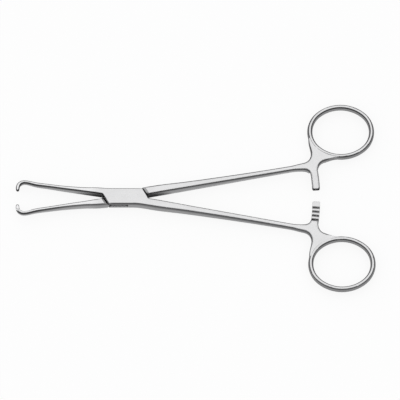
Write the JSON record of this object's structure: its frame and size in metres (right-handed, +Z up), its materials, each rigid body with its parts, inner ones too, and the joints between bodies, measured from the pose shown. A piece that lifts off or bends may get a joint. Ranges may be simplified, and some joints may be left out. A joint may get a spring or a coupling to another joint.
{
  "type": "tenaculum forceps",
  "caption": "Ratcheted tissue forceps with a box lock, slender jaws ending in inward hooks, tapered shanks, interlocking ratchet arms and oval finger rings.",
  "frame": {"origin": "on the axis of the joint pin, in the flat underside of the box on which the forceps lie", "axes": "+X along the forceps from the jaws to the finger rings, +Y to the upper ring in the plan, +Z up through the thickness, along the joint pin"},
  "size_m": [0.1795, 0.1006, 0.006],
  "materials": {
    "satin_steel": "satin, finely brushed, with brighter polished edges",
    "pin_steel": "ground flush with the box and brushed with it"
  },
  "bodies": {
    "box_body": {"box_half": "satin_steel", "joint_pin": "pin_steel"},
    "tongue_body": {"tongue_half": "satin_steel"}
  },
  "joints": [
    {"name": "box_lock_hinge", "type": "hinge", "parent": "box_body", "child": "tongue_body", "pos_m": [0, 0, 0.003], "axis": [0, 0, 1], "range_deg": [-9.5, 35]}
  ]
}
